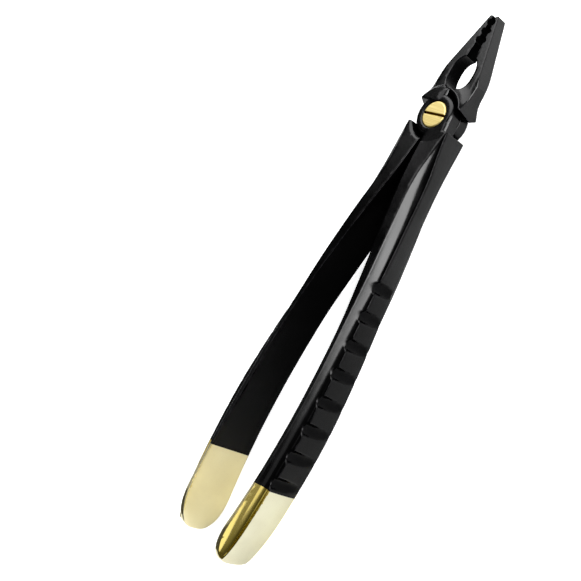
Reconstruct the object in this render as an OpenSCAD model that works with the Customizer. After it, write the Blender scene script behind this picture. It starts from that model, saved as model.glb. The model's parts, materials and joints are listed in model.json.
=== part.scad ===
// Straight upper-incisor extraction forceps with a screw lap joint.
// Lies flat: +Z runs along the pivot towards the screw head, +Y points to the beak tips.
// The origin is on the pivot axis, in the plane of the joint's flat back face. Millimetres.

/* [Overall] */
// Distance from the pivot to the beak tips
beak_reach = 33.1; // [32:0.1:35]
// Distance from the pivot to the handle ends
handle_reach = 141.9; // [139:0.1:145]
// Distance from the pivot to the line where the plated handle end starts
plating_line = 115.7; // [115.2:0.1:118]

/* [Lap joint] */
// Thickness of each lap leaf, from the parting plane to its flat face
lap_thickness = 4.39; // [4.2:0.01:4.5]
// Radius of the round lap disc
disc_radius = 6.6; // [6.2:0.05:6.8]
// Width of the bevel around the free edge of the disc
disc_bevel = 0.75; // [0.4:0.05:0.9]
// Radius of the hollow that clears the other half's disc
hollow_radius = 7.72; // [7.5:0.02:7.8]
// Radius of the flat spot-face around the pivot
spot_face_radius = 8.65; // [8.5:0.05:8.8]
// Gap left between the two laps
parting_gap = 0.04; // [0.02:0.01:0.06]
// Distance from the pivot to the handle shoulders
handle_shoulder = 3.74; // [3.6:0.02:3.9]
// Distance from the pivot to the lower corners of the beaks
beak_shoulder = 3.47; // [3.4:0.02:3.7]
// Half width of the joint across the shoulders
shoulder_half_width = 8.15; // [8.1:0.05:8.3]

/* [Pivot screw] */
// Radius of the screw head
head_radius = 4.06; // [3.9:0.02:4.2]
// Height of the screw head
head_height = 1.9; // [1.6:0.1:2.2]
// Radius of the screw shank
shank_radius = 2.6; // [2.4:0.05:2.8]
// Radial running clearance of the shank in the front half
running_clearance = 0.04; // [0.02:0.01:0.08]
// Width of the screwdriver slot
slot_width = 0.75; // [0.6:0.05:0.9]
// Depth of the screwdriver slot
slot_depth = 0.9; // [0.6:0.1:1.1]
// Turn of the screwdriver slot about the pivot
slot_turn = 5; // [-30:1:30]

/* [Beaks] */
// Half depth of each beak at its tip
tip_half_depth = 1.93; // [1.8:0.01:2.1]
// Half depth of each beak beside the throat
throat_half_depth = 2.72; // [2.6:0.01:2.9]
// Half width of the open throat between the beaks
throat_half_width = 4.6; // [4.3:0.1:4.8]
// Half length of the throat
throat_half_length = 5.6; // [5.4:0.1:5.8]
// Number of cross grooves in each working face
groove_count = 3; // [2:1:4]
// Distance between cross grooves
groove_pitch = 2.92; // [2.8:0.02:3.1]
// Radius of each cross groove
groove_radius = 0.7; // [0.5:0.05:0.8]

/* [Handles] */
// Number of finger notches along each handle
notch_count = 8; // [5:1:8]
// Distance between finger notches
notch_pitch = 8.82; // [8.6:0.02:8.84]
// Distance from the pivot to the first finger notch
notch_start = 51.3; // [50.5:0.1:51.4]
// Radius of each finger notch
notch_radius = 2.1; // [1.9:0.1:2.3]
// Depth of each finger notch at the middle of the outer face
notch_depth = 0.95; // [0.7:0.05:1.1]

/* [Hidden] */
$fn = 64;

// Handle shape at evenly spaced stations from the shoulder to the end:
// inner face, start of the flute and outer face as distances from the mid-line,
// then the half depths of the inner and outer faces and the extra hollow of the flute.
inner_line = [0.18, 1.65, 4.60, 7.45, 9.90, 11.10, 11.60, 11.60, 10.65, 8.75];
flute_line = [7.70, 6.60, 8.45, 10.30, 11.50, 12.50, 12.90, 12.55, 11.70, 10.60];
outer_line = [8.15, 9.70, 11.15, 12.70, 14.35, 15.80, 16.60, 16.30, 15.30, 13.20];
inner_depth = [4.39, 5.40, 6.20, 6.60, 6.85, 7.05, 7.30, 7.90, 8.55, 9.00];
outer_depth = [4.36, 2.95, 3.00, 3.45, 4.20, 4.70, 5.15, 5.40, 5.40, 4.90];
flute_hollow = [0.00, 0.10, 0.20, 0.35, 0.55, 0.70, 0.80, 0.90, 0.90, 0.60];

handle_length = handle_reach - handle_shoulder;
// Where the end of the handle starts to round off
tongue_start = 128;
tongue_power = 2.3;
black_stations = 26;
gold_stations = 13;
flute_steps = 7;
flute_flattening = 1.4;
flattening_start = 0.35;
flattening_length = 0.4;
// Height of the crown of the outer face, and the shares of crown and depth at its bent edges
outer_swell = 0.35;
edge_swell = 0.25;
edge_share = 0.9;
// The flute starts no further out than this share of the handle's width
flute_limit = 0.93;
// The outer face is always a little less deep than the inner face
depth_limit = 0.985;
// Depth of flute, beyond the outer edge, at which it takes its full hollow
hollow_run_in = 2;
tongue_width_power = 3.2;
// The last station stops just short of the mathematical tip
tip_trim = 0.12;
// The handle is drawn past its shoulder and cut back to it
shoulder_allowance = 0.6;

// Neck that joins the disc to its beak: how far it passes the mid-line, and where it ends
neck_overlap = 0.55;
neck_foot = 8.6;
neck_shoulder = 8.0;
neck_side = 3.5;
neck_sink = 0.1;
neck_lap = 0.5;
neck_side_free = 0.05;
// Part of the leaf that joins the disc to its handle
handle_gap_side = 0.18;
handle_lap = 10.1;
handle_lap_inset = 0.6;
waist_flare = 0.4;
waist_start = 0.5;
// How far the beak and the neck reach in under the disc
disc_lap = 1;

// Beak plan: working face, throat, and the outer side with its knee and waist
tip_gap_side = 0.57;
face_slope = 0.079;
tip_thickness = 1.05;
tip_inner_round = 0.15;
tip_outer_round = 0.3;
throat_power = 2.3;
throat_offset = 0.1;
throat_centre = 14.2;
beak_gap_side = 1.0;
groove_inset = 2.1;
groove_height = 8;
knee_reach = 12.2;
knee_half_width = 8.0;
knee_round = 0.4;
knee_end = 13.1;
waist_half_width = 7.85;
waist_top = 8.6;
waist_foot = 6.6;
shoulder_round = 0.4;

// Blade behind the working face: thickness across the beak, and its chamfered outer edges
blade_start = 5;
blade_width = 9.2;
blade_edge = 1.17;
blade_chamfer_start = 6.46;
blade_depth = 3.2;

// Concave ramp from the thick joint down to the thin beak
ramp_radius = 5.33;
ramp_centre = 13.2;
ramp_height = 7.3;
ramp_top = 4.6;
ramp_steps = 10;

// Notches are cut with a slight tilt so that they run out before the back edge
notch_tilt = 9;
notch_foot = 8;
notch_length = 20;
// Larger than any part of the joint
reach = 60;
// Cuts run this far past the surface that they open
overrun = 1;
spot_face_height = 3;
seat_clearance = 0.05;
seat_relief = 0.02;
seat_chamfer = 0.35;
thread_clearance = 0.01;
screw_crown = 0.22;
shank_inset = 0.5;

// Catmull-Rom interpolation of a list over a parameter from 0 to 1
function spline(list, u) =
    let(
        n = len(list) - 1,
        s = min(max(u, 0), 1) * n,
        i = min(floor(s), n - 1),
        t = s - i,
        a = list[max(i - 1, 0)],
        b = list[i],
        c = list[i + 1],
        d = list[min(i + 2, n)]
    )
    b + 0.5 * t * (c - a + t * (2 * a - 5 * b + 4 * c - d + t * (3 * (b - c) + d - a)));

function along(y) = (y - handle_shoulder) / handle_length;

// The flute is a parabola near the joint, and gets a flatter floor and a steeper wall further down
function flute_power(u) =
    2 + flute_flattening * min(max((u - flattening_start) / flattening_length, 0), 1);

// Share of the full size that is left in the rounded end of the handle
function tongue(y, power) =
    let(e = min(max((y - tongue_start) / (handle_reach - tongue_start), 0), 1))
    pow(1 - pow(e, power), 1 / power);

// Ring of points around one handle section, a distance y below the pivot
function section(y) =
    let(
        u = along(y),
        fade = tongue(y, tongue_power),
        x0 = spline(inner_line, u),
        x2 = x0 + (spline(outer_line, u) - x0) * tongue(y, tongue_width_power),
        x1 = min(spline(flute_line, u), x0 + flute_limit * (x2 - x0)),
        z0 = spline(inner_depth, u) * fade,
        z2 = min(spline(outer_depth, u), z0 * depth_limit),
        hollow = spline(flute_hollow, u) * min(1, (z0 - z2) / hollow_run_in),
        power = flute_power(u),
        edge_x = x2 + outer_swell * edge_swell * fade,
        edge_z = z2 * edge_share,
        front = [
            for (k = [0:flute_steps])
                let(t = 1 - k / flute_steps)
                [x2 - (x2 - x1) * t, z2 + (z0 - z2) * pow(t, power) - hollow * t * (1 - t)]
        ]
    )
    concat(
        [[x0, z0]],
        front,
        [[edge_x, edge_z], [x2 + outer_swell * fade, 0], [edge_x, -edge_z]],
        [for (k = [flute_steps:-1:0]) [front[k][0], -front[k][1]]],
        [[x0, -z0]]
    );

// Solid handle between two distances below the pivot
module handle_span(y_start, y_end, steps, ease) {
    rings = [
        for (i = [0:steps])
            let(
                f = i / steps,
                y = y_start + (y_end - y_start) * (ease ? sin(90 * f) : f)
            )
            [for (p = section(y)) [p[0], -y, p[1]]]
    ];
    m = len(rings[0]);
    polyhedron(
        points = [for (r = rings) each r],
        faces = concat(
            [[for (k = [m - 1:-1:0]) k]],
            [
                for (i = [0:steps - 1])
                    for (k = [0:m - 1])
                        for (half = [0, 1])
                            let(a = i * m + k, b = i * m + (k + 1) % m)
                            half == 0 ? [a, b, b + m] : [a, b + m, a + m]
            ],
            [[for (k = [0:m - 1]) steps * m + k]]
        )
    );
}

// Handle from its shoulder to the line where the plating starts
module handle() {
    difference() {
        handle_span(handle_shoulder - shoulder_allowance, plating_line, black_stations, false);
        translate([-reach / 2, -handle_shoulder, -reach / 2])
            cube(reach);
    }
}

// Working face of the beak, as a distance from the mid-line
function face_line(y) = tip_gap_side + (beak_reach - y) * face_slope;

// Outline of the throat side of a beak, from its foot to the working face
function throat_arc() =
    [
        for (a = [-86:4:82])
            let(
                x = throat_half_width * pow(abs(cos(a)), 2 / throat_power) - throat_offset,
                y = throat_centre + throat_half_length * sign(sin(a)) * pow(abs(sin(a)), 2 / throat_power)
            )
            if (x > face_line(y) || a < 0) [x, y]
    ];

// Plan of the beak that lies on the +X side
module beak_plan() {
    arc = throat_arc();
    polygon(concat(
        [[beak_gap_side, 0], [beak_gap_side, arc[0][1]]],
        [for (p = arc) if (p[0] > beak_gap_side) p],
        [
            [face_line(beak_reach - tip_inner_round), beak_reach - tip_inner_round],
            [tip_gap_side + tip_inner_round, beak_reach],
            [tip_gap_side + tip_thickness - tip_outer_round, beak_reach],
            [tip_gap_side + tip_thickness, beak_reach - tip_outer_round],
            [knee_half_width - knee_round, knee_end],
            [knee_half_width, knee_reach - knee_round],
            [waist_half_width, waist_top],
            [waist_half_width, waist_foot],
            [shoulder_half_width, beak_shoulder + shoulder_round],
            [shoulder_half_width, beak_shoulder],
            [disc_radius - disc_lap, beak_shoulder],
            [disc_radius - disc_lap, 0]
        ]
    ));
}

// Round boss of the joint that ramps down to the beaks, symmetric about the parting plane
module ramp_boss() {
    inner = asin((ramp_height - ramp_top) / ramp_radius);
    rotate_extrude($fn = 96)
        polygon(concat(
            [[0, -ramp_top], [ramp_centre - ramp_radius * cos(inner), -ramp_top]],
            [
                for (i = [1:ramp_steps])
                    let(a = inner + (90 - inner) * i / ramp_steps)
                    [ramp_centre - ramp_radius * cos(a), ramp_radius * sin(a) - ramp_height]
            ],
            [
                for (i = [ramp_steps:-1:1])
                    let(a = inner + (90 - inner) * i / ramp_steps)
                    [ramp_centre - ramp_radius * cos(a), ramp_height - ramp_radius * sin(a)]
            ],
            [[ramp_centre - ramp_radius * cos(inner), ramp_top], [0, ramp_top]]
        ));
}

// Tapering blade envelope with chamfered outer edges
module blade_envelope() {
    intersection() {
        rotate([90, 0, 90])
            linear_extrude(height = blade_width)
                polygon([
                    [blade_start, throat_half_depth],
                    [throat_centre, throat_half_depth],
                    [beak_reach + overrun, tip_half_depth],
                    [beak_reach + overrun, -tip_half_depth],
                    [throat_centre, -throat_half_depth],
                    [blade_start, -throat_half_depth]
                ]);
        translate([0, beak_reach + overrun, 0])
            rotate([90, 0, 0])
                linear_extrude(height = beak_reach)
                    polygon([
                        [0, -blade_depth],
                        [blade_chamfer_start, -blade_depth],
                        [blade_width, -blade_edge],
                        [blade_width, blade_edge],
                        [blade_chamfer_start, blade_depth],
                        [0, blade_depth]
                    ]);
    }
}

// Beak on the +X side, full depth
module beak_body() {
    intersection() {
        translate([0, 0, -reach / 2])
            linear_extrude(height = reach)
                beak_plan();
        union() {
            ramp_boss();
            blade_envelope();
        }
    }
}

// Cross grooves in the working face of the +X beak
module beak_grooves() {
    for (i = [0:groove_count - 1]) {
        y = beak_reach - groove_inset - i * groove_pitch;
        translate([face_line(y), y, -groove_height / 2])
            cylinder(h = groove_height, r = groove_radius, $fn = 32);
    }
}

// Finger notches in the outer face of the +X handle
module finger_notches() {
    for (i = [0:notch_count - 1]) {
        y = notch_start + i * notch_pitch;
        x = spline(outer_line, along(y)) + outer_swell;
        translate([x + notch_radius - notch_depth, -y, 0])
            rotate([0, -notch_tilt, 0])
                translate([0, 0, -notch_foot])
                    cylinder(h = notch_length, r = notch_radius, $fn = 48);
    }
}

// Lap leaf in the front layer: disc, neck to the -X beak and neck to the +X handle
module lap_leaf() {
    base = parting_gap / 2;
    translate([0, 0, base])
        cylinder(h = lap_thickness - base, r = disc_radius, $fn = 96);
    translate([0, 0, base])
        linear_extrude(height = lap_thickness - base)
            polygon([
                [handle_gap_side, 0],
                [handle_gap_side, -handle_lap],
                [shoulder_half_width - handle_lap_inset, -handle_lap],
                [disc_radius + waist_flare, -handle_shoulder],
                [disc_radius, -waist_start],
                [0, 0]
            ]);
    intersection() {
        translate([0, 0, base])
            linear_extrude(height = lap_thickness - base)
                polygon([
                    [neck_overlap, 0],
                    [neck_overlap, neck_foot],
                    [-beak_gap_side - neck_lap, neck_foot + neck_sink],
                    [-neck_side, neck_shoulder],
                    [-disc_radius + disc_lap, beak_shoulder],
                    [-disc_radius + disc_lap, 0]
                ]);
        ramp_boss();
    }
}

// Bevel on the free edge of the disc and on the waist beside it
module edge_bevel() {
    bevel_foot = lap_thickness - disc_bevel;
    difference() {
        translate([0, 0, bevel_foot])
            cylinder(h = 2 * disc_bevel, r = hollow_radius, $fn = 96);
        translate([0, 0, bevel_foot - disc_bevel])
            cylinder(
                h = 4 * disc_bevel,
                r1 = disc_radius + disc_bevel,
                r2 = disc_radius - 3 * disc_bevel,
                $fn = 96
            );
        translate([0, 0, bevel_foot - disc_bevel])
            cylinder(h = 4 * disc_bevel, r = disc_radius - disc_bevel, $fn = 96);
        // The disc stays joined to its handle and to its beak
        translate([-reach / 2, -reach - handle_shoulder, 0])
            cube(reach);
        translate([neck_side_free - reach, 0, 0])
            cube(reach);
    }
}

// One forging with its lap in the front layer, its handle at +X and its beak at -X
module forging() {
    difference() {
        union() {
            handle();
            lap_leaf();
            mirror([1, 0, 0])
                beak_body();
        }
        // Rear layer hollow for the other half's disc
        translate([0, 0, -reach / 2])
            cylinder(h = reach / 2 + parting_gap / 2, r = hollow_radius, $fn = 96);
        // Spot-face
        translate([0, 0, lap_thickness])
            cylinder(h = spot_face_height, r = spot_face_radius, $fn = 96);
        edge_bevel();
        finger_notches();
        mirror([1, 0, 0])
            beak_grooves();
    }
}

module front_half() {
    seat_radius = head_radius + seat_clearance;
    color("#2b2b2d")
        difference() {
            forging();
            translate([0, 0, -overrun])
                cylinder(h = lap_thickness + 2 * overrun, r = shank_radius + running_clearance, $fn = 96);
            translate([0, 0, lap_thickness - head_height - seat_relief])
                cylinder(h = head_height + overrun, r = seat_radius, $fn = 96);
            translate([0, 0, lap_thickness - seat_chamfer])
                cylinder(
                    h = seat_chamfer + overrun,
                    r1 = seat_radius,
                    r2 = seat_radius + seat_chamfer + overrun,
                    $fn = 96
                );
        }
}

module rear_half() {
    color("#29292b")
        rotate([0, 180, 0])
            difference() {
                forging();
                translate([0, 0, -overrun])
                    cylinder(h = lap_thickness + 2 * overrun, r = shank_radius + thread_clearance, $fn = 96);
            }
}

module pivot_screw() {
    color("#d8c274")
        difference() {
            union() {
                translate([0, 0, -lap_thickness])
                    cylinder(h = 2 * lap_thickness - shank_inset, r = shank_radius, $fn = 96);
                translate([0, 0, lap_thickness - head_height])
                    cylinder(h = head_height - screw_crown, r = head_radius, $fn = 96);
                translate([0, 0, lap_thickness - screw_crown])
                    cylinder(h = screw_crown, r1 = head_radius, r2 = head_radius - screw_crown, $fn = 96);
            }
            rotate([0, 0, slot_turn])
                translate([-head_radius - overrun, -slot_width / 2, lap_thickness - slot_depth])
                    cube([2 * (head_radius + overrun), slot_width, slot_depth + overrun]);
        }
}

module gold_end() {
    handle_span(plating_line, handle_reach - tip_trim, gold_stations, true);
}

module front_half_gold_end() {
    color("#e3cf86")
        gold_end();
}

module rear_half_gold_end() {
    color("#dfca80")
        rotate([0, 180, 0])
            gold_end();
}

// The parts are drawn about the parting plane and lifted onto the joint's back face
translate([0, 0, lap_thickness]) {
    front_half();
    rear_half();
    pivot_screw();
    front_half_gold_end();
    rear_half_gold_end();
}
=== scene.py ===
import json
import math

import bmesh
import bpy
import numpy as np
import openvdb
from mathutils import Matrix, Vector


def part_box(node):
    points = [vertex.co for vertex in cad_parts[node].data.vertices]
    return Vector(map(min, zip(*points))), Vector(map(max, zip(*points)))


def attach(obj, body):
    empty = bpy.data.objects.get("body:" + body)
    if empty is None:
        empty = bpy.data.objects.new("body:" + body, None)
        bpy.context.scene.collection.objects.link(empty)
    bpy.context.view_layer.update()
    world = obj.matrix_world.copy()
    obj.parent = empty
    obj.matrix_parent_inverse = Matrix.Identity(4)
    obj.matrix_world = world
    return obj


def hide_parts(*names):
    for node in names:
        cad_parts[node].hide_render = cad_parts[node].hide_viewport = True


# Extraction forceps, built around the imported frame. Shapes are worked out in millimetres in the
# forging's own frame: +Z along the pivot, z = 0 on the parting plane, +Y towards the beak tips.
# Each forging is a field that is negative inside the metal and is then turned into a mesh. The rear
# forging is the front one turned half a turn about Y.

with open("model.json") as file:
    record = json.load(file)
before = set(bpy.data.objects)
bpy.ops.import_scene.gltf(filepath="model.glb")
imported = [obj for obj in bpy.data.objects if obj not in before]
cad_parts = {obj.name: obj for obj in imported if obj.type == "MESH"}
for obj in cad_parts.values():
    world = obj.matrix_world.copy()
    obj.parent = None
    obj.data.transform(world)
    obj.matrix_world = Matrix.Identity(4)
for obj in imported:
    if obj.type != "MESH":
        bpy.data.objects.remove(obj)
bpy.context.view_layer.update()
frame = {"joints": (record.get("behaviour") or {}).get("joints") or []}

MM = 0.001
HALF_TURN = np.array([-1, 1, -1])
DIAGONAL = math.sqrt(0.5)
PIVOT = Vector(frame["joints"][0]["pos_m"])
SCREW_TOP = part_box("pivot_screw")[1].z
BLACK_LOW, BLACK_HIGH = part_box("front_half")
GOLD_LOW, GOLD_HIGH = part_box("front_half_gold_end")

# Lap joint
LAP = PIVOT.z / MM
DISC_RADIUS = 6.6
DISC_BEVEL = 0.75
HOLLOW_RADIUS = 7.72
HOLLOW_CHAMFER = 0.38
SPOT_FACE_RADIUS = 8.65
PARTING_GAP = 0.04
HANDLE_SHOULDER = 3.74
BEAK_SHOULDER = 2.3
SHOULDER_SPLIT = 2.0
SHOULDER_RAKE = 0.183
SHOULDER_CHAMFER = 0.54
SHOULDER_HALF_WIDTH = 8.15
SHOULDER_HEIGHT = 1.5
CORE_RADIUS = DISC_RADIUS - 1
SHOULDER_OVERLAP = 0.5
WAIST_HALF_WIDTH = 7.0
NECK_SIDE = 0.55
NECK_REACH = 8.6
NECK_OUTLINE = [(-1.5, 8.7), (-3.5, 8.0), (-5.6, 3.5), (-5.6, 0)]
HANDLE_SIDE = 0.18
LEAF_START = 0.5
LEAF_POINT = 10.1
LEAF_POINT_INSET = 0.6
BEAK_SIDE = 1.0
JOINT_ZONE = 14

# Pivot screw
HEAD_RADIUS = 4.06
HEAD_HEIGHT = 1.9
HEAD_CHAMFER = 0.25
SHANK_RADIUS = 2.6
SEAT_CLEARANCE = 0.05
THREAD_CLEARANCE = 0.01
COUNTERSINK = 0.35
SLOT_WIDTH = 0.75
SLOT_DEPTH = 0.9
SLOT_TURN = math.radians(5)

# Reach of the beaks and handles, and the line where the plating starts
BEAK_REACH = BLACK_HIGH.y / MM
HANDLE_REACH = -GOLD_LOW.y / MM + 0.02
PLATING_LINE = -GOLD_HIGH.y / MM

# Beak
TIP_SIDE = 0.57
FACE_SLOPE = 0.079
TIP_THICKNESS = 1.05
TIP_HALF_DEPTH = 1.93
TAPER_SPAN = (0, 1.2)
THROAT_HALF_DEPTH = 2.72
THROAT_HALF_WIDTH = 4.6
THROAT_HALF_LENGTH = 5.6
THROAT_POWER = 2.3
THROAT_OFFSET = 0.1
THROAT_CENTRE = 14.2
THROAT_ARC = range(-86, 83, 3)
GROOVE_COUNT = 3
GROOVE_PITCH = 2.92
GROOVE_INSET = 2.1
GROOVE_RADIUS = 0.7
KNEE_REACH = 12.2
KNEE_HALF_WIDTH = 8.0
KNEE_RISE = 0.9
KNEE_INSET = 0.35
KNEE_DROP = 0.4
FLANK_SIDE = 7.85
FLANK_TOP = 8.6
FLANK_FOOT = 6.6
CHAMFER_TOP = (6.46, 3.2)
CHAMFER_FOOT = (9.2, 1.17)
RAMP_RADIUS = 5.33
RAMP_CENTRE = 13.2
RAMP_HEIGHT = 7.3
RAMP_TOP = 4.6

# Handle, at evenly spaced stations from its shoulder to its end
INNER_LINE = [0.18, 1.65, 4.60, 7.45, 9.90, 11.10, 11.60, 11.60, 10.65, 8.75]
FLUTE_LINE = [7.70, 6.60, 8.45, 10.30, 11.50, 12.50, 12.90, 12.55, 11.70, 10.60]
OUTER_LINE = [8.15, 9.70, 11.15, 12.70, 14.35, 15.80, 16.60, 16.30, 15.30, 13.20]
INNER_DEPTH = [4.39, 5.40, 6.20, 6.60, 6.85, 7.05, 7.30, 7.90, 8.55, 9.00]
OUTER_DEPTH = [4.36, 2.95, 3.00, 3.45, 4.20, 4.70, 5.15, 5.40, 5.40, 4.90]
FLUTE_HOLLOW = [0.00, 0.10, 0.20, 0.35, 0.55, 0.70, 0.80, 0.90, 0.90, 0.60]
FLUTE_FLATTENING = 1.4
FLATTENING_START = 0.35
FLATTENING_LENGTH = 0.4
HOLLOW_RUN_IN = 2
OUTER_SWELL = 0.35
SWELL_LEAST_DEPTH = 0.5
SWELL_REACH = 1.5
RIM_LIMIT = 0.93
CREASE_LIMIT = 0.985
FLUTE_LEAST_WIDTH = 0.3
FLUTE_SPAN = (-0.3, 1.4)
TONGUE_START = 128
TONGUE_SPAN = (0, 1.3)
TONGUE_DEPTH_POWER = 2.3
TONGUE_WIDTH_POWER = 3.2

# Finger notches
NOTCH_COUNT = 8
NOTCH_START = 51.3
NOTCH_PITCH = 8.82
NOTCH_RADIUS = 2.1
NOTCH_DEPTH = 0.95
NOTCH_TILT = math.radians(9)

# Reach of the rounding or fillet between two faces
RIM_ROUNDING = 0.45
OUTER_ROUNDING = 0.4
CREASE_ROUNDING = 0.3
NOTCH_ROUNDING = 0.5
CHAMFER_ROUNDING = 0.5
RAMP_FILLET = 0.8
PLAN_ROUNDING = 0.3
BEVEL_ROUNDING = 0.3
LAP_ROUNDING = 0.2
EDGE_ROUNDING = 0.25
JOIN_FILLET = 0.15
BORE_ROUNDING = 0.1
COUNTERSINK_ROUNDING = 0.15
THREAD_ROUNDING = 0.2
HEAD_ROUNDING = 0.12
HEAD_CHAMFER_ROUNDING = 0.1
SHANK_ROUNDING = 0.2
SLOT_ROUNDING = 0.14
SLOT_FLOOR_ROUNDING = 0.12

# Fineness of the mesh, and room around the shapes on the grid
VOXEL = 0.17
SCREW_VOXEL = 0.1
MESH_ADAPTIVITY = 0.02
MARGIN = 3
FORGING_SIDE = 17.2
FORGING_HALF_DEPTH = 9.2
SETTLING_STEPS = 2
SETTLING_REACH = 0.5
LEAST_SLOPE = 0.2
CUT_TOLERANCE = 1e-5

# Where the materials change over the surface, and where the black coat's shine is cut back as painted
# shade
EDGE_GAIN = 1.6
RIM_BLEND = 0.4
RIM_SHIFT = 0.6
FLUTE_FLOOR = 0.97
SKIN_FADE = 1.6
CREASE_SKIN = 0.45
PIT_SKIN = 0.15
# Painted shade in the finger notches, where it also stands for a matte finish
PIT_PAINTED_SHADE = 0.9
INNER_FADE_END = 130
INNER_FADE_LENGTH = 70
OUTER_FADE_LENGTH = 12
OUTER_FADE_SHIFT = 0.6
# Painted shade on the outer faces from the notches down
OUTER_PAINTED_SHADE = 0.5

# Colours, as linear red, green and blue shares
COAT_DARK = (0.0015, 0.0015, 0.0016)
COAT_LIGHT = (0.003, 0.003, 0.0032)
COAT_RUBBED = (0.009, 0.009, 0.0095)
# Painted reflection on the gold: brighter inner faces, a greyer outer face and a deeper yellow flute
GOLD_INNER_PAINTED_LIGHT = (1.0, 0.915, 0.58)
GOLD_OUTER_PAINTED_SHEEN = (0.76, 0.745, 0.56)
GOLD_FLUTE_PAINTED_REFLECTION = (1.0, 0.80, 0.24)
GOLD_CLOUD = (0.93, 0.92, 0.90)
SCREW_DARK = (0.72, 0.57, 0.21)
SCREW_LIGHT = (0.88, 0.75, 0.35)
# Painted shade in the screw slot
SCREW_SLOT_PAINTED_SHADE = (0.12, 0.07, 0.015)
FLOOR_TONE = (0.88, 0.88, 0.88)
WHITE = (1.0, 1.0, 1.0)

# Surface textures: sizes and depths in metres, and pairs of low and high values
NOISE_SPAN = (0.35, 0.65)
EDGE_SPAN = (0.35, 1.0)
RUB_SPAN = (0.4, 0.65)
RUB_SHARE = (0.1, 1)
COAT_ROUGHNESS = (0.21, 0.26)
# Shine of the coat, from clean down to where painted shade is full
COAT_SPECULAR = (0.5, 0.12)
COAT_IOR = 1.4
RUB_SIZE = 0.0009
MOTTLE_SIZE = 0.006
WAVE_SIZE, WAVE_DEPTH = 0.0022, 0.000012
GRAIN_SIZE, GRAIN_DEPTH = 0.00016, 0.0000035
# Painted shade in recesses: reach and range of the ambient occlusion that weakens the shine
RECESS_REACH = 0.012
RECESS_RANGE = (0.32, 0.58)
RECESS_SHARE = (0.1, 1)
FLUTE_REFLECTION_SPAN = (0.2, 0.8)
PLATING_ROUGHNESS = (0.10, 0.2)
SCUFF_SPAN = (0.45, 0.7)
CLOUD_SIZE = 0.008
SWELL_SIZE, SWELL_DEPTH = 0.005, 0.00001
HAIRLINE_SIZE, HAIRLINE_DEPTH = 0.004, 0.0000012
HAIRLINE_STRETCH = (1, 0.06, 14)
SCREW_ROUGHNESS = (0.5, 0.62)
BRUSH_SPAN = (0.3, 0.7)
BRUSH_SIZE, BRUSH_DEPTH = 0.0035, 0.000006
BRUSH_STRETCH = (0.12, 14, 1)
SLOT_SHADE_DEPTHS = (0.75 * MM, 0.2 * MM)

# Camera, in metres, solved together with the main sizes from edges that both halves show
CAMERA_AZIMUTH = math.radians(45)
CAMERA_ELEVATION = math.radians(-0.9)
CAMERA_DISTANCE = 0.3078
CAMERA_CENTRE = Vector((0, -0.045, PIVOT.z))
CAMERA_AIM = Vector((-0.0222, -0.065, PIVOT.z))
CAMERA_UP = Vector((-0.3534, 0.8763, 0.3273))
CAMERA_LENS = 65.32
CAMERA_SENSOR = 36
CAMERA_NEAREST = 0.01

# Studio: each softbox has a name, azimuth and elevation in degrees, distance and size in metres,
# and radiance
SOFTBOXES = [
    ("side_softbox", 14, 20, 1.2, (0.6, 1.1), 11),
    ("top_softbox", 108, 42, 1.1, (1.5, 1.25), 3.3),
    ("low_softbox", -16, 38, 1.2, (0.5, 0.7), 0.65),
    ("left_softbox", 200, 44, 1.2, (0.35, 0.6), 0.4),
]
FLOOR_HALF_SIDE = 3.0
FLOOR_ROUGHNESS = 0.9
FLOOR_SPECULAR = 0.1
FLOOR_GLOW = 0.7
ROOM_BRIGHT_SIDE = Vector((0.5, 0.75, 0)).normalized()
ROOM_FADE = (-0.3, 0.6)
ROOM_STRENGTH = (0.07, 0.38)
CONTRAST_POINTS = [(0.011, 0.0025), (0.035, 0.024), (0.08, 0.076)]


def spline(values, u):
    """Catmull-Rom curve through evenly spaced values, for u from 0 to 1."""
    v = np.asarray(values, float)
    last = len(v) - 1
    s = np.clip(u, 0, 1) * last
    i = np.minimum(np.floor(s).astype(int), last - 1)
    t = s - i
    a, b, c, d = v[np.maximum(i - 1, 0)], v[i], v[i + 1], v[np.minimum(i + 2, last)]
    return b + 0.5 * t * (c - a + t * (2 * a - 5 * b + 4 * c - d + t * (3 * (b - c) + d - a)))


def both(a, b, soft):
    """Where both fields are inside, with the edge between them rounded over."""
    h = np.maximum(soft - np.abs(a - b), 0) / soft
    return np.maximum(a, b) + h * h * soft / 4


def either(a, b, soft):
    """Where either field is inside, with a fillet in the corner between them."""
    return -both(-a, -b, soft)


def less(a, b, soft):
    """Field a with field b cut away, and the new edge rounded over."""
    return both(a, -b, soft)


def outline(points, x, y):
    """Signed distance to a closed outline in the plane."""
    distance = np.full(np.broadcast(x, y).shape, 1e6)
    inside = np.zeros(distance.shape, bool)
    for (x1, y1), (x0, y0) in zip(points, points[-1:] + points[:-1]):
        ex, ey = x0 - x1, y0 - y1
        wx, wy = x - x1, y - y1
        t = np.clip((wx * ex + wy * ey) / (ex * ex + ey * ey), 0, 1)
        distance = np.minimum(distance, (wx - ex * t) ** 2 + (wy - ey * t) ** 2)
        crosses = (y >= y1) != (y >= y0)
        side = (ex * wy > ey * wx) == (y0 > y1)
        inside ^= crosses & side
    return np.where(inside, -1, 1) * np.sqrt(distance)


def face_line(y):
    """Working face of the +X beak, as a distance from the mid-line."""
    return TIP_SIDE + (BEAK_REACH - y) * FACE_SLOPE


def along(y):
    """How far down the handle: 0 at its shoulder, 1 at its end."""
    return (-y - HANDLE_SHOULDER) / (HANDLE_REACH - HANDLE_SHOULDER)


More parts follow.
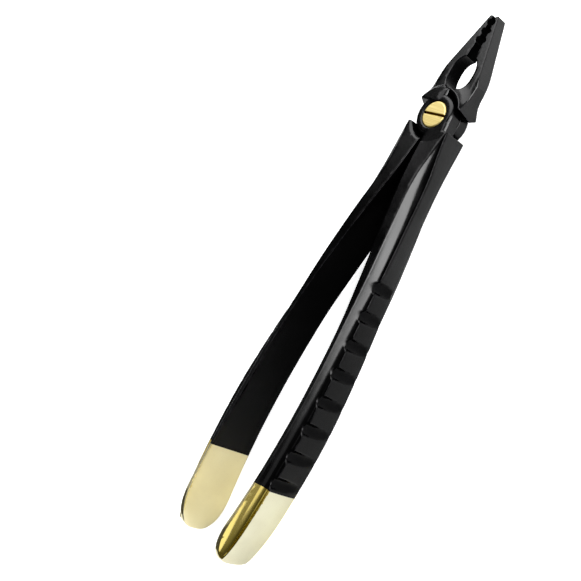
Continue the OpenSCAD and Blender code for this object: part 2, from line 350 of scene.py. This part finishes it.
def handle(x, y, z):
    """The +X handle, from its shoulder to its rounded end. Across it, x0 is the inner face, x1 the
    rim of the flute and x2 the outer crease. In depth, z0 is the rim and z2 the outer crease."""
    p, q = TONGUE_DEPTH_POWER, TONGUE_WIDTH_POWER
    depth = np.abs(z)
    u = along(y)
    e = np.clip((-y - TONGUE_START) / (HANDLE_REACH - TONGUE_START), *TONGUE_SPAN)
    x0 = spline(INNER_LINE, u)
    full_z = spline(INNER_DEPTH, u)
    full_width = spline(OUTER_LINE, u) - x0
    fade_z = np.maximum(1 - e**p, 0) ** (1 / p)
    fade_x = np.maximum(1 - e**q, 0) ** (1 / q)
    x2 = x0 + full_width * fade_x
    x1 = np.minimum(spline(FLUTE_LINE, u), x0 + RIM_LIMIT * (x2 - x0))
    z0 = full_z * fade_z
    z2 = np.minimum(spline(OUTER_DEPTH, u), z0 * CREASE_LIMIT)
    hollow = spline(FLUTE_HOLLOW, u) * np.clip((z0 - z2) / HOLLOW_RUN_IN, 0, 1)

    faces = (((depth / full_z) ** p + e**p) ** (1 / p) - 1) * full_z
    off_centre = np.minimum(depth / np.maximum(z2, SWELL_LEAST_DEPTH), SWELL_REACH)
    crown = OUTER_SWELL * (1 - off_centre**2)
    width = full_width + crown
    outer = (((np.maximum(x - x0, 0) / width) ** q + e**q) ** (1 / q) - 1) * width
    solid = both(faces, x0 - x, RIM_ROUNDING)
    solid = both(solid, outer, OUTER_ROUNDING)

    wide = np.maximum(x2 - x1, FLUTE_LEAST_WIDTH)
    t = np.clip((x2 - x) / wide, *FLUTE_SPAN)
    power = 2 + FLUTE_FLATTENING * np.clip((u - FLATTENING_START) / FLATTENING_LENGTH, 0, 1)
    rise = np.abs(t) ** power
    floor = z2 + (z0 - z2) * rise - hollow * t * (1 - t)
    slope = (power * np.abs(t) ** (power - 1) * (z0 - z2) + hollow * (2 * t - 1)) / wide
    flute = (floor - depth) / np.sqrt(1 + slope * slope)
    solid = less(solid, flute, CREASE_ROUNDING)
    return both(solid, y + HANDLE_SHOULDER, EDGE_ROUNDING)


def flute_share(x, y, z):
    """1 on the wall and floor of the flute, 0 on the rim and on the inner and outer faces."""
    u = along(y)
    from_rim = x - spline(FLUTE_LINE, u)
    above_crease = np.abs(z) > FLUTE_FLOOR * spline(OUTER_DEPTH, u)
    return np.clip(from_rim / RIM_BLEND + RIM_SHIFT, 0, 1) * above_crease


def finger_notches(x, y, z):
    """Cross grooves in the outer face of the handle, tilted so that they run out towards the back."""
    i = np.clip(np.round((-y - NOTCH_START) / NOTCH_PITCH), 0, NOTCH_COUNT - 1)
    below = NOTCH_START + i * NOTCH_PITCH
    centre = spline(OUTER_LINE, along(-below)) + OUTER_SWELL + NOTCH_RADIUS - NOTCH_DEPTH
    across = (x - centre) * math.cos(NOTCH_TILT) + z * math.sin(NOTCH_TILT)
    return np.sqrt(across**2 + (y + below) ** 2) - NOTCH_RADIUS


def facing_out(normals):
    """1 where the surface faces +X, 0 where it faces any other side."""
    return np.clip(2 * normals[:, 0] - 1, 0, 1)


def coat_shade_share(points, normals):
    """How much painted shade each point gets, as a weaker shine: 1 along the outer crease and on the
    inner faces near the joint, nearly as much in the finger notches, where it also stands for a matte
    finish, and partly between them."""
    x, y, z = points.T
    u = along(y)
    from_crease = np.hypot(x - spline(OUTER_LINE, u), np.abs(z) - spline(OUTER_DEPTH, u))
    crease = np.clip(SKIN_FADE - from_crease / CREASE_SKIN, 0, 1) * (y < -HANDLE_SHOULDER)
    pits = np.clip(SKIN_FADE - np.abs(finger_notches(x, y, z)) / PIT_SKIN, 0, 1)
    inward = np.clip(-2 * normals[:, 0] * np.sign(x) - 1, 0, 1)
    near_joint = np.clip((y + INNER_FADE_END) / INNER_FADE_LENGTH, 0, 1)
    low_down = np.clip((-y - NOTCH_START) / OUTER_FADE_LENGTH + OUTER_FADE_SHIFT, 0, 1)
    between = facing_out(normals) * low_down
    return np.max([PIT_PAINTED_SHADE * pits, inward * near_joint, crease, OUTER_PAINTED_SHADE * between], axis=0)


def beak_plan():
    """Outline of the +X beak: throat, working face, tip, knee, waist and shoulder."""
    arc = []
    for a in THROAT_ARC:
        c, s = math.cos(math.radians(a)), math.sin(math.radians(a))
        px = THROAT_HALF_WIDTH * abs(c) ** (2 / THROAT_POWER) - THROAT_OFFSET
        py = THROAT_CENTRE + THROAT_HALF_LENGTH * math.copysign(abs(s) ** (2 / THROAT_POWER), s)
        if px > BEAK_SIDE and (a < 0 or px > face_line(py)):
            arc.append((px, py))
    return (
        [(BEAK_SIDE, 0), (BEAK_SIDE, arc[0][1])]
        + arc
        + [
            (TIP_SIDE, BEAK_REACH),
            (TIP_SIDE + TIP_THICKNESS, BEAK_REACH),
            (KNEE_HALF_WIDTH - KNEE_INSET, KNEE_REACH + KNEE_RISE),
            (KNEE_HALF_WIDTH, KNEE_REACH - KNEE_DROP),
            (FLANK_SIDE, FLANK_TOP),
            (FLANK_SIDE, FLANK_FOOT),
            (SHOULDER_HALF_WIDTH, BEAK_SHOULDER + SHOULDER_HEIGHT),
            (SHOULDER_HALF_WIDTH, BEAK_SHOULDER - SHOULDER_OVERLAP),
            (CORE_RADIUS, BEAK_SHOULDER - SHOULDER_OVERLAP),
            (CORE_RADIUS, 0),
        ]
    )


def ramp_boss(x, y, z):
    """Round boss of the joint, with the concave ramp that leads down to the beaks."""
    r = np.sqrt(x * x + y * y)
    depth = np.abs(z)
    ramp = RAMP_RADIUS - np.sqrt((r - RAMP_CENTRE) ** 2 + (depth - RAMP_HEIGHT) ** 2)
    ramp = both(ramp, depth - RAMP_TOP, EDGE_ROUNDING)
    return both(ramp, r - RAMP_CENTRE, EDGE_ROUNDING)


def blade(x, y, z):
    """Tapering blade with chamfered outer edges."""
    depth = np.abs(z)
    share = np.clip((y - THROAT_CENTRE) / (BEAK_REACH - THROAT_CENTRE), *TAPER_SPAN)
    face = depth - THROAT_HALF_DEPTH + (THROAT_HALF_DEPTH - TIP_HALF_DEPTH) * share
    inner, top = CHAMFER_TOP
    outer, foot = CHAMFER_FOOT
    slope = (top - foot) / (outer - inner)
    chamfer = (depth - top + (x - inner) * slope) / math.hypot(1, slope)
    return both(face, chamfer, CHAMFER_ROUNDING)


def beak(x, y, z):
    """The +X beak, full depth. The lower corner is chamfered on the side of its own lap."""
    above = z - SHOULDER_SPLIT
    corner = BEAK_SHOULDER + np.maximum(above * SHOULDER_CHAMFER, -above * SHOULDER_RAKE)
    body = either(ramp_boss(x, y, z), blade(x, y, z), RAMP_FILLET)
    plan = outline(beak_plan(), x, y)
    body = both(body, plan, PLAN_ROUNDING)
    body = both(body, corner - y, EDGE_ROUNDING)
    for i in range(GROOVE_COUNT):
        cy = BEAK_REACH - GROOVE_INSET - i * GROOVE_PITCH
        groove = np.sqrt((x - face_line(cy)) ** 2 + (y - cy) ** 2) - GROOVE_RADIUS
        body = less(body, groove, EDGE_ROUNDING)
    return body


def leaf(x, y, z):
    """Lap leaf in the front layer: disc, neck to the -X beak and neck to the +X handle, all bevelled."""
    disc = np.sqrt(x * x + y * y) - DISC_RADIUS
    to_handle = outline(
        [
            (HANDLE_SIDE, 0),
            (HANDLE_SIDE, -LEAF_POINT),
            (SHOULDER_HALF_WIDTH - LEAF_POINT_INSET, -LEAF_POINT),
            (WAIST_HALF_WIDTH, -HANDLE_SHOULDER),
            (DISC_RADIUS, -LEAF_START),
            (0, 0),
        ],
        x,
        y,
    )
    to_beak = outline([(NECK_SIDE, 0), (NECK_SIDE, NECK_REACH)] + NECK_OUTLINE, x, y)
    plan = np.minimum(np.minimum(disc, to_handle), to_beak)
    slab = np.maximum(plan, PARTING_GAP / 2 - z)
    top = both(z - LAP, ramp_boss(x, y, z), LAP_ROUNDING)
    bevel = (plan + z - LAP + DISC_BEVEL) * DIAGONAL
    return both(both(slab, top, LAP_ROUNDING), bevel, BEVEL_ROUNDING)


def forging(x, y, z):
    """One forging: lap in the front layer, handle at +X and beak at -X. The joint and the beak are
    worked out only where they can matter, for loose points and for grid lines alike."""
    body = less(handle(x, y, z), finger_notches(x, y, z), NOTCH_ROUNDING)
    near = y > -JOINT_ZONE
    if near.shape == body.shape:
        body[near] = add_joint(body[near], x[near], y[near], z[near])
    else:
        first = np.flatnonzero(near.ravel()).min()
        body[:, first:, :] = add_joint(body[:, first:, :], x, y[:, first:, :], z)
    return body


def add_joint(body, x, y, z):
    """Joins the lap leaf and the beak to the handle, then cuts the joint's hollows."""
    body = either(body, leaf(x, y, z), JOIN_FILLET)
    body = either(body, beak(-x, y, z), JOIN_FILLET)
    r = np.sqrt(x * x + y * y)
    rear_hollow = np.maximum(r - HOLLOW_RADIUS, z - PARTING_GAP / 2)
    rim = (r - HOLLOW_RADIUS - HOLLOW_CHAMFER + z + LAP) * DIAGONAL
    body = less(body, np.minimum(rear_hollow, rim), EDGE_ROUNDING)
    spot_face = np.maximum(r - SPOT_FACE_RADIUS, LAP - z)
    return less(body, spot_face, EDGE_ROUNDING)


def front_cuts(body, x, y, z):
    """The bore and the seat of the screw head."""
    r = np.sqrt(x * x + y * y)
    bore = r - SHANK_RADIUS - PARTING_GAP
    seat = np.maximum(r - HEAD_RADIUS - SEAT_CLEARANCE, LAP - HEAD_HEIGHT - z)
    countersink = (r - HEAD_RADIUS - COUNTERSINK + LAP - z) * DIAGONAL
    body = less(body, np.minimum(bore, seat), BORE_ROUNDING)
    return less(body, countersink, COUNTERSINK_ROUNDING)


def rear_cuts(body, x, y, z):
    """The threaded hole."""
    thread = np.sqrt(x * x + y * y) - SHANK_RADIUS - THREAD_CLEARANCE
    return less(body, thread, THREAD_ROUNDING)


def screw_field(x, y, z):
    """Pivot screw: chamfered head with a driver slot, and a plain shank."""
    r = np.sqrt(x * x + y * y)
    ends = np.abs(z - LAP + HEAD_HEIGHT / 2) - HEAD_HEIGHT / 2
    chamfer = (r - HEAD_RADIUS + HEAD_CHAMFER + z - LAP) * DIAGONAL
    head = both(r - HEAD_RADIUS, ends, HEAD_ROUNDING)
    head = both(head, chamfer, HEAD_CHAMFER_ROUNDING)
    shank = both(r - SHANK_RADIUS, np.maximum(-z - LAP, z), SHANK_ROUNDING)
    across = y * math.cos(SLOT_TURN) - x * math.sin(SLOT_TURN)
    slot = both(np.abs(across) - SLOT_WIDTH / 2, LAP - SLOT_DEPTH - z, SLOT_FLOOR_ROUNDING)
    return less(np.minimum(head, shank), slot, SLOT_ROUNDING)


def gradient(field, points, step=0.02):
    """Slope of a field at scattered points, by central differences."""
    slope = np.empty_like(points)
    for axis in range(3):
        shift = np.zeros(3)
        shift[axis] = step
        ahead, behind = points + shift, points - shift
        slope[:, axis] = (field(*ahead.T) - field(*behind.T)) / (2 * step)
    return slope


def edge_strength(field, points, step=0.3):
    """How convex the surface is at each point: 1 on an edge, 0 on a flat, below 0 in a corner."""
    total = -6 * field(*points.T)
    for axis in range(3):
        shift = np.zeros(3)
        shift[axis] = step
        total += field(*(points + shift).T) + field(*(points - shift).T)
    return np.clip(total / step * EDGE_GAIN, -1, 1)


def sample_axes(low, high, voxel):
    """Grid lines for sampling a field, shaped so that they broadcast against each other."""
    x, y, z = [np.arange(a, b, voxel) for a, b in zip(low, high)]
    return x[:, None, None], y[None, :, None], z[None, None, :]


def surface(values, corner, field, voxel):
    """Vertices and faces where the sampled field is zero, moved exactly onto the true surface."""
    band = MARGIN * voxel
    grid = openvdb.FloatGrid(band)
    grid.copyFromArray(np.clip(values, -band, band).astype(np.float32))
    grid.transform = openvdb.createLinearTransform(voxelSize=voxel)
    points, triangles, quads = grid.convertToPolygons(0.0, MESH_ADAPTIVITY)
    points = points.astype(float) + corner
    for _ in range(SETTLING_STEPS):
        slope = gradient(field, points)
        move = slope * (field(*points.T) / np.maximum((slope**2).sum(1), LEAST_SLOPE))[:, None]
        length = np.linalg.norm(move, axis=1, keepdims=True)
        points -= move * np.minimum(1, SETTLING_REACH * voxel / np.maximum(length, 1e-9))
    return points, triangles.tolist() + quads.tolist()


def piece(name, points, faces, field, keep, turned, body, node, material):
    """One visible piece: all of a surface, or its black or gold part by the plating line."""
    bm = bmesh.new()
    verts = [bm.verts.new(p) for p in points]
    for f in faces:
        bm.faces.new([verts[i] for i in reversed(f)])
    if keep != "all":
        bmesh.ops.bisect_plane(
            bm,
            geom=bm.verts[:] + bm.edges[:] + bm.faces[:],
            dist=CUT_TOLERANCE,
            plane_co=(0, -PLATING_LINE, 0),
            plane_no=(0, 1, 0),
            clear_inner=keep == "black",
            clear_outer=keep == "gold",
        )
        rim = [e for e in bm.edges if e.is_boundary]
        caps = bmesh.ops.edgeloop_fill(bm, edges=rim)["faces"]
        bmesh.ops.triangulate(bm, faces=caps)
    bmesh.ops.recalc_face_normals(bm, faces=bm.faces)
    mesh = bpy.data.meshes.new(name)
    bm.to_mesh(mesh)
    bm.free()
    co = np.empty(len(mesh.vertices) * 3)
    mesh.vertices.foreach_get("co", co)
    co = co.reshape(-1, 3)
    normal = gradient(field, co)
    normal /= np.linalg.norm(normal, axis=1, keepdims=True)
    shares = {
        "edge": edge_strength(field, co),
        "flute": flute_share(*co.T),
        # Painted shade for the black coat's shine
        "painted_shade": coat_shade_share(co, normal),
        "outer": facing_out(normal),
    }
    for share, values in shares.items():
        mesh.attributes.new(share, "FLOAT", "POINT").data.foreach_set("value", values)
    if turned:
        co, normal = co * HALF_TURN, normal * HALF_TURN
    co = co * MM + np.array([0, 0, PIVOT.z])
    mesh.vertices.foreach_set("co", co.ravel())
    mesh.polygons.foreach_set("use_smooth", [True] * len(mesh.polygons))
    mesh.normals_split_custom_set_from_vertices(normal.tolist())
    mesh.materials.append(material)
    obj = bpy.data.objects.new(name, mesh)
    bpy.context.scene.collection.objects.link(obj)
    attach(obj, body)
    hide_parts(node)


def build_halves(black, gold):
    """Meshes both forgings from one sampled field, and splits each at the plating line."""
    low = np.array([-SHOULDER_HALF_WIDTH, -HANDLE_REACH, -FORGING_HALF_DEPTH]) - MARGIN * VOXEL
    high = np.array([FORGING_SIDE, BEAK_REACH, FORGING_HALF_DEPTH]) + MARGIN * VOXEL
    x, y, z = sample_axes(low, high, VOXEL)
    body = forging(x, y, z)
    for side, cuts, turned in (("front", front_cuts, False), ("rear", rear_cuts, True)):
        def field(px, py, pz, cuts=cuts):
            return cuts(forging(px, py, pz), px, py, pz)

        points, faces = surface(cuts(body, x, y, z), low, field, VOXEL)
        for keep, name, node, material in (
            ("black", side + "_forging", side + "_half", black),
            ("gold", side + "_plated_end", side + "_half_gold_end", gold),
        ):
            piece(name, points, faces, field, keep, turned, side + "_body", node, material)


def build_screw(material):
    """Meshes the pivot screw."""
    size = np.array([HEAD_RADIUS, HEAD_RADIUS, LAP]) + MARGIN * SCREW_VOXEL
    x, y, z = sample_axes(-size, size, SCREW_VOXEL)
    points, faces = surface(screw_field(x, y, z), -size, screw_field, SCREW_VOXEL)
    name, body, node = "slotted_pivot_screw", "rear_body", "pivot_screw"
    piece(name, points, faces, screw_field, "all", False, body, node, material)


def new_material(name):
    """A node material, with its node tree and its main shader."""
    material = bpy.data.materials.new(name)
    material.use_nodes = True
    tree = material.node_tree
    return material, tree, tree.nodes["Principled BSDF"]


def add_node(tree, kind, **values):
    """A node with some of its properties or inputs set."""
    node = tree.nodes.new(kind)
    for key, value in values.items():
        if hasattr(node, key):
            setattr(node, key, value)
        else:
            node.inputs[key.replace("_", " ")].default_value = value
    return node


def noise(tree, size, detail=3, stretch=(1, 1, 1)):
    """Noise with features of about the given size in metres, as a value near 0.5."""
    place = add_node(tree, "ShaderNodeTexCoord")
    scale = add_node(tree, "ShaderNodeMapping")
    scale.inputs["Scale"].default_value = stretch
    tree.links.new(place.outputs["Object"], scale.inputs["Vector"])
    node = add_node(tree, "ShaderNodeTexNoise", Scale=1 / size, Detail=detail)
    tree.links.new(scale.outputs["Vector"], node.inputs["Vector"])
    return node.outputs["Fac"]


def remap(tree, value, low, high, to_low, to_high):
    """Linear change of range, clamped."""
    node = add_node(tree, "ShaderNodeMapRange")
    for key, number in zip(("From Min", "From Max", "To Min", "To Max"), (low, high, to_low, to_high)):
        node.inputs[key].default_value = number
    tree.links.new(value, node.inputs["Value"])
    return node.outputs["Result"]


def mix_colors(tree, share, first, second):
    """Blend of two colours or colour outputs."""
    node = add_node(tree, "ShaderNodeMix", data_type="RGBA")
    tree.links.new(share, node.inputs["Factor"])
    for socket, value in ((node.inputs[6], first), (node.inputs[7], second)):
        if isinstance(value, tuple):
            socket.default_value = (*value, 1)
        else:
            tree.links.new(value, socket)
    return node.outputs[2]


def multiply(tree, a, b):
    """Product of two numbers or outputs."""
    node = add_node(tree, "ShaderNodeMath", operation="MULTIPLY")
    for socket, value in ((node.inputs[0], a), (node.inputs[1], b)):
        if isinstance(value, (int, float)):
            socket.default_value = value
        else:
            tree.links.new(value, socket)
    return node.outputs[0]


def add_bump(tree, shader, *layers):
    """Stacks bump layers, each a height output with its depth in metres."""
    normal = None
    for height, depth in layers:
        node = add_node(tree, "ShaderNodeBump", Strength=1.0, Distance=depth)
        tree.links.new(height, node.inputs["Height"])
        if normal is not None:
            tree.links.new(normal, node.inputs["Normal"])
        normal = node.outputs["Normal"]
    tree.links.new(normal, shader.inputs["Normal"])


def attribute(tree, name):
    """One of the shares that piece() stores on each vertex."""
    return add_node(tree, "ShaderNodeAttribute", attribute_name=name).outputs["Fac"]


def black_coating():
    """Satin black hard coating: fine grain, faint mottling, edges rubbed a little lighter, and painted
    shade as a weaker shine in recesses, found by ambient occlusion, and along the creases, inner faces
    and notches that the painted shade share marks."""
    material, tree, shader = new_material("black_coating")
    edge = remap(tree, attribute(tree, "edge"), *EDGE_SPAN, 0, 1)
    patches = remap(tree, noise(tree, RUB_SIZE), *RUB_SPAN, *RUB_SHARE)
    rubbed = multiply(tree, edge, patches)
    mottle = remap(tree, noise(tree, MOTTLE_SIZE, 5), *NOISE_SPAN, 0, 1)
    coat = mix_colors(tree, mottle, COAT_DARK, COAT_LIGHT)
    color = mix_colors(tree, rubbed, coat, COAT_RUBBED)
    # Painted shade: shine cut back by the painted shade share and by ambient occlusion in recesses
    coat_shine_shaded = remap(tree, attribute(tree, "painted_shade"), 0, 1, *COAT_SPECULAR)
    near = add_node(tree, "ShaderNodeAmbientOcclusion", samples=8, Distance=RECESS_REACH)
    recess_shade = remap(tree, near.outputs["AO"], *RECESS_RANGE, *RECESS_SHARE)
    tree.links.new(multiply(tree, coat_shine_shaded, recess_shade), shader.inputs["Specular IOR Level"])
    tree.links.new(color, shader.inputs["Base Color"])
    tree.links.new(remap(tree, mottle, 0, 1, *COAT_ROUGHNESS), shader.inputs["Roughness"])
    shader.inputs["IOR"].default_value = COAT_IOR
    grain = noise(tree, GRAIN_SIZE, 2)
    waves = noise(tree, WAVE_SIZE, 2)
    add_bump(tree, shader, (waves, WAVE_DEPTH), (grain, GRAIN_DEPTH))
    return material


def gold_plating():
    """Polished pale gold plating with painted reflection: greyer on the outer face, brighter and warmer
    on the inner faces and a deeper yellow in the flute, standing in for the light each face catches,
    with hairline scratches."""
    material, tree, shader = new_material("gold_plating")
    shader.inputs["Metallic"].default_value = 1
    # Painted reflection: tone set by which way each face looks and by the flute
    flute_reflection_share = remap(tree, attribute(tree, "flute"), *FLUTE_REFLECTION_SPAN, 0, 1)
    flat = mix_colors(tree, attribute(tree, "outer"), GOLD_INNER_PAINTED_LIGHT, GOLD_OUTER_PAINTED_SHEEN)
    tone = mix_colors(tree, flute_reflection_share, flat, GOLD_FLUTE_PAINTED_REFLECTION)
    cloud = remap(tree, noise(tree, CLOUD_SIZE, 4), *NOISE_SPAN, 0, 1)
    shade = mix_colors(tree, cloud, GOLD_CLOUD, WHITE)
    blend = add_node(tree, "ShaderNodeMix", data_type="RGBA", blend_type="MULTIPLY")
    blend.inputs["Factor"].default_value = 1
    tree.links.new(tone, blend.inputs[6])
    tree.links.new(shade, blend.inputs[7])
    tree.links.new(blend.outputs[2], shader.inputs["Base Color"])
    hairlines = noise(tree, HAIRLINE_SIZE, 4, HAIRLINE_STRETCH)
    scuffs = remap(tree, hairlines, *SCUFF_SPAN, *PLATING_ROUGHNESS)
    tree.links.new(scuffs, shader.inputs["Roughness"])
    add_bump(tree, shader, (noise(tree, SWELL_SIZE, 1), SWELL_DEPTH), (hairlines, HAIRLINE_DEPTH))
    return material


def gold_screw():
    """Gold-plated screw, brushed straight across its head, with painted shade darkening the slot."""
    material, tree, shader = new_material("gold_screw")
    shader.inputs["Metallic"].default_value = 1
    brushing = noise(tree, BRUSH_SIZE, 6, BRUSH_STRETCH)
    streaks = remap(tree, brushing, *NOISE_SPAN, 0, 1)
    tone = mix_colors(tree, streaks, SCREW_DARK, SCREW_LIGHT)
    place = add_node(tree, "ShaderNodeTexCoord")
    split = add_node(tree, "ShaderNodeSeparateXYZ")
    tree.links.new(place.outputs["Object"], split.inputs["Vector"])
    # Painted shade: the slot darkens with depth below the head
    low, high = (SCREW_TOP - below for below in SLOT_SHADE_DEPTHS)
    height = remap(tree, split.outputs["Z"], low, high, 0, 1)
    tree.links.new(mix_colors(tree, height, SCREW_SLOT_PAINTED_SHADE, tone), shader.inputs["Base Color"])
    satin = remap(tree, brushing, *BRUSH_SPAN, *SCREW_ROUGHNESS)
    tree.links.new(satin, shader.inputs["Roughness"])
    add_bump(tree, shader, (brushing, BRUSH_DEPTH))
    return material


def direction(azimuth, elevation):
    """Unit vector at an azimuth from the first axis towards the second, raised to the third."""
    level = math.cos(elevation)
    return Vector((math.cos(azimuth) * level, math.sin(azimuth) * level, math.sin(elevation)))


def add_camera():
    """Camera at 45 degrees off the pivot axis, with the tool from upper right to lower left."""
    forward, side, rise = direction(CAMERA_AZIMUTH, CAMERA_ELEVATION)
    place = CAMERA_CENTRE + Vector((side, rise, forward)) * CAMERA_DISTANCE
    back = (place - CAMERA_AIM).normalized()
    right = CAMERA_UP.cross(back).normalized()
    up = back.cross(right)
    data = bpy.data.cameras.new("camera")
    data.lens = CAMERA_LENS
    data.sensor_width = CAMERA_SENSOR
    data.clip_start = CAMERA_NEAREST
    camera = bpy.data.objects.new("camera", data)
    camera.matrix_world = Matrix((
        (right.x, up.x, back.x, place.x),
        (right.y, up.y, back.y, place.y),
        (right.z, up.z, back.z, place.z),
        (0, 0, 0, 1),
    ))
    bpy.context.scene.collection.objects.link(camera)
    bpy.context.scene.camera = camera


def softbox(name, azimuth, elevation, distance, size, radiance):
    """Rectangular lamp that faces the joint: azimuth from +X towards +Y and elevation in degrees."""
    away = direction(math.radians(azimuth), math.radians(elevation))
    data = bpy.data.lights.new(name, "AREA")
    data.shape = "RECTANGLE"
    data.size, data.size_y = size
    data.energy = radiance * math.pi * size[0] * size[1]
    lamp = bpy.data.objects.new(name, data)
    lamp.location = PIVOT + away * distance
    lamp.rotation_euler = away.to_track_quat("Z", "Y").to_euler()
    bpy.context.scene.collection.objects.link(lamp)


def add_floor(level):
    """Plain pale floor, a little brighter to the camera so that it reads as white paper."""
    half = FLOOR_HALF_SIDE
    mesh = bpy.data.meshes.new("floor")
    corners = [(x * half, y * half, level) for x, y in ((-1, -1), (1, -1), (1, 1), (-1, 1))]
    mesh.from_pydata(corners, [], [(0, 1, 2, 3)])
    floor = bpy.data.objects.new("floor", mesh)
    bpy.context.scene.collection.objects.link(floor)
    material, tree, shader = new_material("floor")
    shader.inputs["Base Color"].default_value = (*FLOOR_TONE, 1)
    shader.inputs["Roughness"].default_value = FLOOR_ROUGHNESS
    shader.inputs["Specular IOR Level"].default_value = FLOOR_SPECULAR
    shader.inputs["Emission Color"].default_value = (*WHITE, 1)
    path = add_node(tree, "ShaderNodeLightPath")
    glow = multiply(tree, path.outputs["Is Camera Ray"], FLOOR_GLOW)
    tree.links.new(glow, shader.inputs["Emission Strength"])
    mesh.materials.append(material)


def add_world():
    """Soft light all round, brighter towards the beaks and the notched handle, and dim on the other
    side, so that faces that look straight up stay dark."""
    world = bpy.data.worlds.new("studio")
    bpy.context.scene.world = world
    world.use_nodes = True
    tree = world.node_tree
    place = add_node(tree, "ShaderNodeTexCoord")
    side = add_node(tree, "ShaderNodeVectorMath", operation="DOT_PRODUCT")
    side.inputs[1].default_value = ROOM_BRIGHT_SIDE
    tree.links.new(place.outputs["Generated"], side.inputs[0])
    strength = remap(tree, side.outputs["Value"], *ROOM_FADE, *ROOM_STRENGTH)
    tree.nodes["Background"].inputs["Color"].default_value = (*WHITE, 1)
    tree.links.new(strength, tree.nodes["Background"].inputs["Strength"])


def set_contrast():
    """Plain display transform with the deepest shadows pressed down, as in a studio cut-out."""
    view = bpy.context.scene.view_settings
    view.view_transform = "Standard"
    view.use_curve_mapping = True
    curve = view.curve_mapping.curves[3]
    for value, shown in CONTRAST_POINTS:
        curve.points.new(value, shown)
    for point in curve.points:
        point.handle_type = "VECTOR"
    view.curve_mapping.update()


build_halves(black_coating(), gold_plating())
build_screw(gold_screw())
add_floor(min(BLACK_LOW.z, GOLD_LOW.z))
add_world()
for settings in SOFTBOXES:
    softbox(*settings)
add_camera()
set_contrast()
